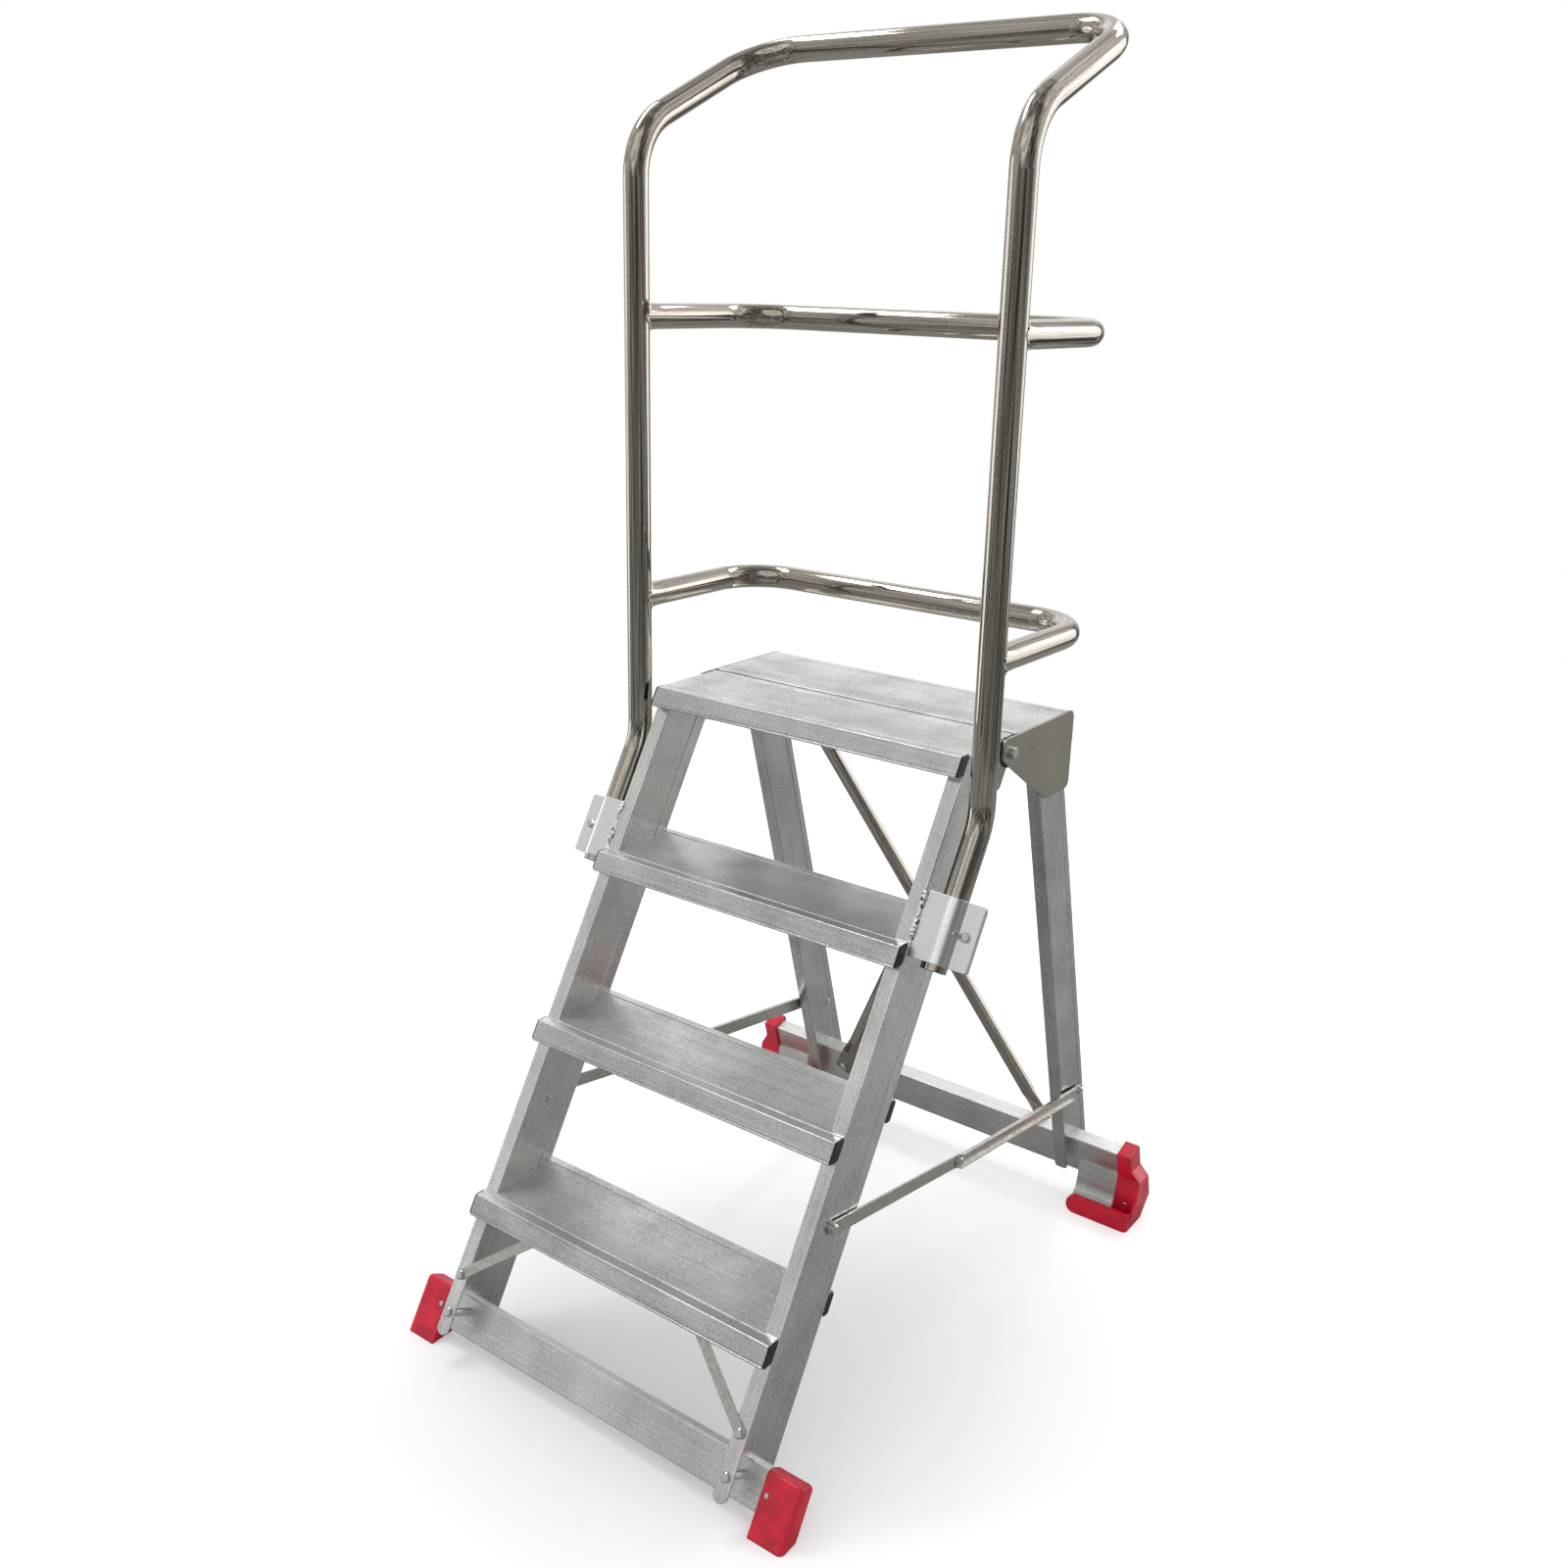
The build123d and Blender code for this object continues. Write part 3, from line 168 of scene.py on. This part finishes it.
def extruded_aluminium(name, along, light, dark, roughness, satin=None):
    """Mill-finish extrusion: die lines along the profile and a grainy grey bloom make a soft, streaky mirror.

    along is the profile's direction. satin is the middle and half width, in y, of a tread's blasted top.
    """
    material, tree, shader, place = new_material(name, {"Metallic": 1.0})
    # Real die lines are about 0.1 mm wide and the grain finer: both are drawn as coarse as they need to show
    line_width = 1.5 * mm
    line_length = 250 * mm
    grain_size = 2.2 * mm
    bloom_size = 90 * mm
    turn = across.rotation_difference(along).inverted().to_euler()
    turned = add_node(tree, "ShaderNodeMapping", {"Vector": place, "Rotation": turn}).outputs["Vector"]
    stretched = add_node(tree, "ShaderNodeMapping", {
        "Vector": turned, "Scale": (1 / line_length, 1 / line_width, 1 / line_width)}).outputs["Vector"]
    lines = noise(tree, stretched, 1.0, detail=2.0, roughness=0.6)
    bloom = noise(tree, place, bloom_size, detail=4.0)
    grain = noise(tree, place, grain_size, detail=2.0)

    grain_share = 1.6
    clean_sum = 1.4
    grey_sum = 2.2
    soiled = calculate(tree, "MULTIPLY_ADD", grain, grain_share, bloom)
    soiled = calculate(tree, "ADD", soiled, lines)
    soiled = mapped(tree, soiled, clean_sum, grey_sum)
    dull = shade(tree, shader, soiled, light, dark, roughness, spread=0.06)

    line_share = 0.35
    height = calculate(tree, "MULTIPLY_ADD", lines, line_share, grain)
    if satin:
        extra_roughness = 0.06
        rearwards = add_node(tree, "ShaderNodeSeparateXYZ", {"Vector": place}).outputs["Y"]
        blasted = calculate(tree, "COMPARE", rearwards, *satin)
        dull = calculate(tree, "MULTIPLY_ADD", blasted, extra_roughness, dull)
        tree.links.new(dull, shader.inputs["Roughness"])
        height = calculate(tree, "MULTIPLY_ADD", blasted, grain, height)
    relief(tree, shader, height, depth=0.03 * mm, edge=1.2 * mm)
    return material


def polished_tube(name, light, dark, roughness):
    """Polished aluminium tube: a clear brown-grey mirror, with dark polishing lines that follow the tube."""
    material, tree, shader, place = new_material(name, {"Metallic": 1.0})
    # Real polishing lines are about 0.2 mm wide: lines and grain are drawn as coarse as they need to show
    line_width = 2.5 * mm
    line_length = 250 * mm
    grain_size = 2.5 * mm
    facing = add_node(tree, "ShaderNodeTexCoord").outputs["Normal"]
    round_tube = add_node(tree, "ShaderNodeVectorMath", {
        0: facing, "Scale": tube_radius / line_width}, operation="SCALE").outputs["Vector"]
    down_tube = add_node(tree, "ShaderNodeVectorMath", {
        0: place, "Scale": 1 / line_length}, operation="SCALE").outputs["Vector"]
    spot = add_node(tree, "ShaderNodeVectorMath", {
        0: round_tube, 1: down_tube}, operation="ADD").outputs["Vector"]
    lines = noise(tree, spot, 1.0, detail=3.0, roughness=0.6)
    grain = noise(tree, place, grain_size, detail=2.0)

    grain_share = 0.5
    bright_sum = 0.55
    dark_sum = 0.95
    marked = calculate(tree, "MULTIPLY_ADD", grain, grain_share, lines)
    marked = mapped(tree, marked, bright_sum, dark_sum)
    shade(tree, shader, marked, light, dark, roughness, spread=0.05)
    relief(tree, shader, grain, depth=0.02 * mm, edge=0.5 * mm)
    return material


def plated_steel(name, light, dark, roughness, spangle):
    """Zinc-coated steel: a dull silver skin whose crystal patches, as big as spangle, differ a little."""
    material, tree, shader, place = new_material(name, {"Metallic": 1.0})
    crystals = add_node(tree, "ShaderNodeTexVoronoi", {
        "Vector": place, "Scale": 1 / spangle}).outputs["Color"]
    patches = add_node(tree, "ShaderNodeSeparateColor", {"Color": crystals}).outputs["Red"]
    shade(tree, shader, patches, light, dark, roughness, spread=0.06)
    relief(tree, shader, patches, depth=0.02 * mm, edge=0.6 * mm)
    return material


def moulded_plastic(name, light, dark, roughness):
    """Injection-moulded plastic: even colour with a leathery grain, duller and darker where it is scuffed."""
    material, tree, shader, place = new_material(name, {"IOR": 1.5})
    # The moulded grain is really about 0.5 mm: it is drawn as coarse as it needs to show
    grain_size = 1.2 * mm
    patch_size = 30 * mm
    clean_level = 0.35
    scuffed_level = 0.68
    patches = noise(tree, place, patch_size, detail=4.0)
    scuffed = mapped(tree, patches, clean_level, scuffed_level)
    shade(tree, shader, scuffed, light, dark, roughness, spread=0.08)
    pits = noise(tree, place, grain_size, detail=2.0)
    relief(tree, shader, pits, depth=0.06 * mm, edge=4.0 * mm)
    return material


def weld_metal(name, light, dark, roughness):
    """Aluminium weld: bright, lumpy metal with grey soot on it."""
    material, tree, shader, place = new_material(name, {"Metallic": 1.0})
    lump_size = 5 * mm
    clean_level = 0.48
    sooty_level = 0.62
    lumps = noise(tree, place, lump_size, detail=3.0)
    sooty = mapped(tree, lumps, clean_level, sooty_level)
    shade(tree, shader, sooty, light, dark, roughness, spread=0.08)
    relief(tree, shader, lumps, depth=1.0 * mm, edge=0.5 * mm)
    return material


# Each finish with its light and dark colour, its roughness and, for steel, the size of its spangle
bar_profile = extruded_aluminium("extruded_aluminium_bar", across, "#f2f2ef", "#bfc0be", 0.40)
stile_profile = extruded_aluminium("extruded_aluminium_stile", up_stile, "#f2f2ef", "#bcbdbb", 0.24)
# The rear legs are the stiles' aluminium tinted darker: painted shade
leg_profile_with_painted_shade = extruded_aluminium("extruded_aluminium_leg", up_leg, "#d6d6d3", "#9fa09e", 0.26)
# The clamp sockets are the stiles' aluminium tinted paler: painted light for their brightly lit fronts
socket_profile_with_painted_light = extruded_aluminium("extruded_aluminium_socket", up_stile, "#f4f4f2", "#e2e3e2", 0.28)
spacer = extruded_aluminium("turned_aluminium_spacer", across, "#f4f4f2", "#e2e3e2", 0.5)
plate = extruded_aluminium("rolled_aluminium_plate", across, "#b3aea2", "#85817a", 0.3)
tube = polished_tube("polished_aluminium_tube", "#c2bcb2", "#857e74", 0.07)
stay_steel = plated_steel("galvanised_steel", "#cdccc5", "#b6b5ae", 0.34, 4.0 * mm)
bolt_steel = plated_steel("bright_zinc_steel", "#dadcde", "#bfc2c6", 0.24, 2.0 * mm)
red_plastic = moulded_plastic("red_moulded_plastic", "#dc1738", "#b30d2b", 0.27)
black_plastic = moulded_plastic("black_moulded_plastic", "#1b1b1d", "#0f0f10", 0.45)
weld = weld_metal("aluminium_weld_metal", "#f6f6f4", "#555553", 0.3)


def tread_profile(name, rear_leans):
    """Extruded tread or board whose top is blasted between two smooth edge strips.

    One edge leans as the stiles do: the rear one where rear_leans, or else the front one.
    """
    low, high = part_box(name)
    lean = (high[2] - low[2]) / tan(radians(stile_angle))
    front = low[1] + edge_strip
    rear = high[1] - edge_strip
    if rear_leans:
        rear -= lean
    else:
        front += lean
    satin = ((front + rear) / 2, (rear - front) / 2)
    return extruded_aluminium("extruded_aluminium_" + name, across, "#e2e2df", "#a4a5a3", 0.33, satin)


# Finish of the nodes whose names start like this: the first that fits counts, and bolt steel is for the rest
finishes = {
    "cross_brace_bolts": bolt_steel,
    "lower_strap_bolts": bolt_steel,
    "front_boot_screws": bolt_steel,
    "rear_boot_screws": bolt_steel,
    "front_flap_spacers": spacer,
    "front_stile": stile_profile,
    "rear_leg": leg_profile_with_painted_shade,
    "front_base_bar": bar_profile,
    "rear_base_bar": bar_profile,
    "rear_shoe": bar_profile,
    "guardrail": tube,
    "cross_brace": tube,
    "hinge_gusset": plate,
    "hinge_ear": plate,
    "rail_socket": socket_profile_with_painted_light,
    "stay_front_link": stay_steel,
    "stay_rear_link": stay_steel,
    "lower_strap": stay_steel,
    "front_boot": red_plastic,
    "rear_boot": red_plastic,
    "tread_end_caps": black_plastic,
    "hinge_washers": black_plastic,
    "platform_rear_board": tread_profile("platform_rear_board", True),
}
for name in ("tread_1", "tread_2", "tread_3", "platform_front_board"):
    finishes[name] = tread_profile(name, False)
for name, piece in nodes.items():
    finish = next((value for key, value in finishes.items() if name.startswith(key)), bolt_steel)
    for slot in piece.material_slots:
        slot.material = finish


def add_object(name, data):
    """New object at the origin, with this data, in the scene."""
    added = bpy.data.objects.new(name, data)
    bpy.context.scene.collection.objects.link(added)
    return added


def weld_bead(name, line, thickness, body):
    """Run of weld metal along a joint: a ridge of overlapping drops, as a tube that swells at each drop.

    The hand that laid it moved unevenly, so the ridge also swells and thins over a longer stretch.
    """
    drop_length = 6 * mm
    stretch = 23 * mm
    # Shares of the bead's radius
    core_share, drop_share, swell_share = 0.66, 0.14, 0.20
    curve = bpy.data.curves.new(name, "CURVE")
    curve.dimensions = "3D"
    curve.bevel_depth = thickness / 2
    curve.use_fill_caps = True
    run = curve.splines.new("POLY")
    run.points.add(len(line) - 1)
    travelled = 0.0
    for number, (point, place) in enumerate(zip(run.points, line)):
        travelled += (place - line[max(number - 1, 0)]).length
        drop = abs(sin(pi * travelled / drop_length))
        swell = sin(pi * travelled / stretch)
        point.co = (*place, 1.0)
        point.radius = core_share + drop_share * drop + swell_share * swell
    drawn = bpy.data.objects.new(name + "_line", curve)
    mesh = bpy.data.meshes.new_from_object(drawn)
    bpy.data.objects.remove(drawn)
    mesh.materials.clear()
    mesh.materials.append(weld)
    mesh.shade_smooth()
    piece = add_object(name, mesh)
    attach(piece, body)


def socket_weld(side, sign):
    """Bead down the joint between a clamp socket and its stile."""
    low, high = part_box("rail_socket_" + side)
    top = Vector((sign * stile_outer, low[1] + socket_length * up_stile.y, high[2]))
    steps = socket_bead_steps
    line = [top - up_stile * (socket_bead_length * step / steps) for step in range(steps + 1)]
    weld_bead("socket_weld_" + side, line, socket_bead, "front_frame")


def hoop_mouth(node, sign):
    """Middle of a hoop's end, where it meets the upright."""
    low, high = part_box(node)
    return Vector((sign * (high[0] - tube_radius), low[1], (low[2] + high[2]) / 2))


def flare_height(share):
    """Half height of a hoop's flared end at a share of its length, from the plain tube to the upright."""
    return tube_radius + flare_rise * share ** 2


def hoop_flare(node, side, sign):
    """Flared end of a hoop, pressed out above and below to fit the upright."""
    middle = hoop_mouth(node, sign)
    to_middle = Matrix.Translation(-middle)
    form = bmesh.new()
    ring = bmesh.ops.create_circle(form, segments=flare_sides, radius=tube_radius)["verts"]
    bmesh.ops.rotate(form, verts=ring, matrix=Matrix.Rotation(radians(90.0), 3, "X"))
    bmesh.ops.translate(form, verts=ring, vec=middle + Vector((0.0, flare_length, 0.0)))
    edges = list(form.edges)
    for step in range(flare_steps):
        grown = bmesh.ops.extrude_edge_only(form, edges=edges)["geom"]
        ring = [part for part in grown if isinstance(part, bmesh.types.BMVert)]
        edges = [part for part in grown if isinstance(part, bmesh.types.BMEdge)]
        bmesh.ops.translate(form, verts=ring, vec=(0.0, -flare_length / flare_steps, 0.0))
        before = flare_height(step / flare_steps)
        after = flare_height((step + 1) / flare_steps)
        bmesh.ops.scale(form, verts=ring, vec=(1.0, 1.0, after / before), space=to_middle)
    bmesh.ops.recalc_face_normals(form, faces=form.faces)
    mesh = bpy.data.meshes.new(node + "_flare_" + side)
    form.to_mesh(mesh)
    form.free()
    mesh.materials.append(tube)
    mesh.shade_smooth()
    piece = add_object(mesh.name, mesh)
    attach(piece, "guardrail")


def hoop_weld(node, side, sign):
    """Bead round a hoop's flared end, on the saddle line where it meets the upright."""
    middle = hoop_mouth(node, sign)
    line = []
    for step in range(hoop_bead_steps + 1):
        turn = 2 * pi * step / hoop_bead_steps
        sideways = tube_radius * cos(turn)
        rearwards = tube_radius * abs(sin(turn))
        upwards = flare_height(1.0) * sin(turn)
        line.append(middle + Vector((sideways, rearwards, upwards)))
    weld_bead(node + "_weld_" + side, line, hoop_bead, "guardrail")


for side, sign in (("left", -1), ("right", 1)):
    socket_weld(side, sign)
    for node in ("guardrail_middle_hoop", "guardrail_lower_hoop"):
        hoop_flare(node, side, sign)
        hoop_weld(node, side, sign)


def background_rays(tree, mirrored):
    """Strength of the backdrop for a ray, and the outputs that tell which kind of ray it is.

    It is 1 where the camera looks at it straight or through glass, mirrored where metal does, and else 0.
    """
    ray = add_node(tree, "ShaderNodeLightPath").outputs
    straight = calculate(tree, "MAXIMUM", ray["Is Camera Ray"], ray["Is Transmission Ray"])
    glossy = calculate(tree, "MULTIPLY", ray["Is Glossy Ray"], mirrored)
    return calculate(tree, "MAXIMUM", straight, glossy), ray


def hall_world():
    """White backdrop, soft light, and for mirrors a dim, cluttered hall with a few bright walls and skies."""
    world = bpy.data.worlds.new("hall")
    bpy.context.scene.world = world
    tree = empty_tree(world)
    direction = add_node(tree, "ShaderNodeTexCoord").outputs["Generated"]

    clutter_size = 1 / 6
    dark_level, pale_level = 0.35, 0.65
    dark_strength, pale_strength = 0.03, 0.44
    clutter = noise(tree, direction, clutter_size, detail=3.0)
    room = mapped(tree, clutter, dark_level, pale_level, dark_strength, pale_strength)
    # Direction of each bright part, the cosines of its outer and inner edge, and its strength
    bright_parts = (
        ((-0.60, 0.78, 0.20), 0.72, 0.96, 0.50),  # wall, rear left
        ((-0.68, 0.42, 0.60), 0.50, 0.90, 0.42),  # wide skylight, left
        ((-0.58, -0.66, 0.48), 0.76, 0.94, 0.42),  # skylight, front left
        ((-0.96, -0.28, -0.04), 0.955, 0.975, 1.60),  # doorway, left
        ((0.45, 0.88, 0.12), 0.93, 0.96, 1.60),  # window, rear right
        ((0.58, 0.62, 0.52), 0.72, 0.92, 0.70),  # skylight, rear right
        ((0.20, -0.76, 0.62), 0.84, 0.94, 0.70),  # skylight, front
    )
    for middle, edge, core, gain in bright_parts:
        towards = add_node(tree, "ShaderNodeVectorMath", {
            0: direction, 1: Vector(middle).normalized()}, operation="DOT_PRODUCT").outputs["Value"]
        part = mapped(tree, towards, edge, core, 0.0, gain, interpolation_type="SMOOTHSTEP")
        room = calculate(tree, "ADD", part, room)

    # Matt surfaces get an even light that is a little stronger from the front left and above
    even_light = 0.76
    side_light = 0.25
    front_left = Vector((-0.6, -0.6, 0.5))
    from_front_left = add_node(tree, "ShaderNodeVectorMath", {
        0: direction, 1: front_left}, operation="DOT_PRODUCT").outputs["Value"]
    sky = calculate(tree, "MULTIPLY_ADD", from_front_left, side_light, even_light)
    seen, ray = background_rays(tree, room)
    strength = calculate(tree, "MULTIPLY_ADD", ray["Is Diffuse Ray"], sky, seen)
    white = add_node(tree, "ShaderNodeBackground", {"Color": linear("#ffffff"), "Strength": strength})
    add_node(tree, "ShaderNodeOutputWorld", {"Surface": white.outputs["Background"]})


def pale_paper():
    """Matt pale paper that fades into the backdrop away from the treads, and is grey to mirrors."""
    paper = bpy.data.materials.new("pale_paper")
    tree = empty_tree(paper)
    spot = add_node(tree, "ShaderNodeTexCoord").outputs["Object"]
    under_treads = Vector((0.0, -0.25, 0.0))
    away = add_node(tree, "ShaderNodeVectorMath", {
        0: spot, 1: under_treads}, operation="DISTANCE").outputs["Value"]
    # Distances in metres between which the glow grows, and its strength there
    near, far = 0.3, 1.5
    near_glow, far_glow = 0.24, 0.78
    mirrored_glow = 0.03
    fill = mapped(tree, away, near, far, near_glow, far_glow)
    seen, ray = background_rays(tree, mirrored_glow)
    lift = calculate(tree, "MULTIPLY", seen, fill)
    colour = mixed(tree, ray["Is Glossy Ray"], "#d9d9d9", "#a2a2a2")
    matt = add_node(tree, "ShaderNodeBsdfDiffuse", {"Color": colour})
    glow = add_node(tree, "ShaderNodeEmission", {"Color": linear("#ffffff"), "Strength": lift})
    both = add_node(tree, "ShaderNodeAddShader", {0: matt.outputs["BSDF"], 1: glow.outputs["Emission"]})
    add_node(tree, "ShaderNodeOutputMaterial", {"Surface": both.outputs["Shader"]})
    return paper


def paper_floor():
    """Round floor that keeps the ladder's shadow."""
    mesh = bpy.data.meshes.new("floor")
    form = bmesh.new()
    bmesh.ops.create_circle(form, cap_ends=True, segments=floor_sides, radius=floor_radius)
    form.to_mesh(mesh)
    form.free()
    mesh.materials.append(pale_paper())
    floor = add_object("floor", mesh)


def ceiling_lamp(name, place):
    """Soft lamp panel under the ceiling, turned to the ladder."""
    lamp = bpy.data.lights.new(name, "AREA")
    lamp.shape = "RECTANGLE"
    lamp.size = lamp_length
    lamp.size_y = lamp_width
    lamp.energy = lamp_power
    holder = add_object(name, lamp)
    holder.location = place
    holder.rotation_euler = (lamp_target - Vector(place)).to_track_quat("-Z", "Y").to_euler()


def photo_camera():
    """The photograph's camera: place, turn, lens and the shift of its picture."""
    lens = bpy.data.cameras.new("camera")
    lens.lens = camera_lens
    lens.sensor_width = camera_film
    lens.shift_x, lens.shift_y = camera_shift
    turn = Matrix.Rotation(radians(camera_yaw), 4, "Z")
    turn = turn @ Matrix.Rotation(radians(90.0 + camera_pitch), 4, "X")
    turn = turn @ Matrix.Rotation(radians(camera_roll), 4, "Z")
    camera = add_object("camera", lens)
    camera.matrix_world = Matrix.Translation(camera_place) @ turn
    bpy.context.scene.camera = camera


bpy.context.scene.view_settings.view_transform = "Standard"
hall_world()
paper_floor()
for name, place in lamp_places.items():
    ceiling_lamp(name, place)
photo_camera()
